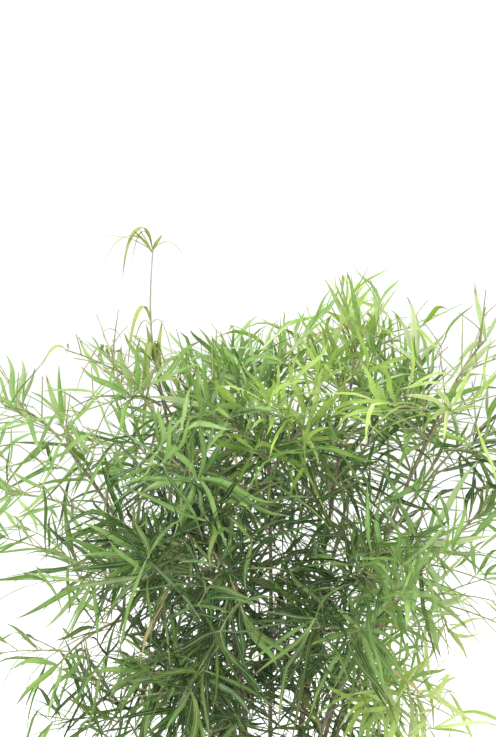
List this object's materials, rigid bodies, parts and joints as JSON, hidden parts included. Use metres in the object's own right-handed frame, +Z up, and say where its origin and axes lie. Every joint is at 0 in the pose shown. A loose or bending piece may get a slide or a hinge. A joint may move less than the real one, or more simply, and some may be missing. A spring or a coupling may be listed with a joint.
{
  "type": "potted sicklethorn asparagus",
  "caption": "Bushy potted plant: woody canes rise from soil in a round nursery pot and carry sprays of narrow sickle-shaped leaves.",
  "frame": {"origin": "centre of the pot's flat underside", "axes": "+Z up; the side that the picture shows faces -Y; +X is on its right"},
  "size_m": [0.666, 0.5785, 0.7659],
  "materials": {
    "pot": "moulded, fine satin grain",
    "soil": "damp bark and peat crumb",
    "cane_bark": "dry, finely ridged bark",
    "leaf_mature": "waxy, semi-gloss, paler midrib",
    "leaf_fresh": "waxy, semi-gloss, yellow-green",
    "leaf_young": "soft satin, pale yellow-green"
  },
  "bodies": {
    "root": {"cane_back_left": "cane_bark", "cane_back_right": "cane_bark", "cane_centre": "cane_bark", "cane_far_left": "cane_bark", "cane_front": "cane_bark", "cane_front_right": "cane_bark", "cane_low_left": "cane_bark", "cane_low_right": "cane_bark", "cane_mid_left": "cane_bark", "cane_peak": "cane_bark", "cane_right": "cane_bark", "cane_tall": "cane_bark", "pot": "pot", "soil": "soil", "spray_back_left_1": "leaf_mature", "spray_back_left_2": "leaf_mature", "spray_back_left_3": "leaf_mature", "spray_back_left_4": "leaf_mature", "spray_back_right_1": "leaf_mature", "spray_back_right_2": "leaf_mature", "spray_back_right_3": "leaf_mature", "spray_back_right_4": "leaf_mature", "spray_centre_1": "leaf_mature", "spray_centre_2": "leaf_mature", "spray_centre_3": "leaf_fresh", "spray_far_left_1": "leaf_mature", "spray_far_left_2": "leaf_mature", "spray_far_left_3": "leaf_mature", "spray_far_left_4": "leaf_mature", "spray_far_left_5": "leaf_mature", "spray_front_1": "leaf_mature", "spray_front_2": "leaf_mature", "spray_front_3": "leaf_mature", "spray_front_4": "leaf_mature", "spray_front_right_1": "leaf_mature", "spray_front_right_2": "leaf_mature", "spray_front_right_3": "leaf_fresh", "spray_low_left_1": "leaf_mature", "spray_low_left_2": "leaf_mature", "spray_low_left_3": "leaf_mature", "spray_low_right_1": "leaf_mature", "spray_low_right_2": "leaf_fresh", "spray_low_right_3": "leaf_mature", "spray_mid_left_1": "leaf_mature", "spray_mid_left_2": "leaf_mature", "spray_mid_left_3": "leaf_mature", "spray_peak_1": "leaf_fresh", "spray_peak_2": "leaf_fresh", "spray_peak_3": "leaf_mature", "spray_peak_4": "leaf_mature", "spray_right_1": "leaf_mature", "spray_right_2": "leaf_mature", "spray_right_3": "leaf_fresh", "spray_right_4": "leaf_mature", "spray_right_5": "leaf_mature", "spray_tall_1": "leaf_mature", "spray_tall_2": "leaf_young", "spray_tall_3": "leaf_mature", "spray_tall_4": "leaf_mature", "young_shoot": "leaf_young"}
  },
  "joints": []
}
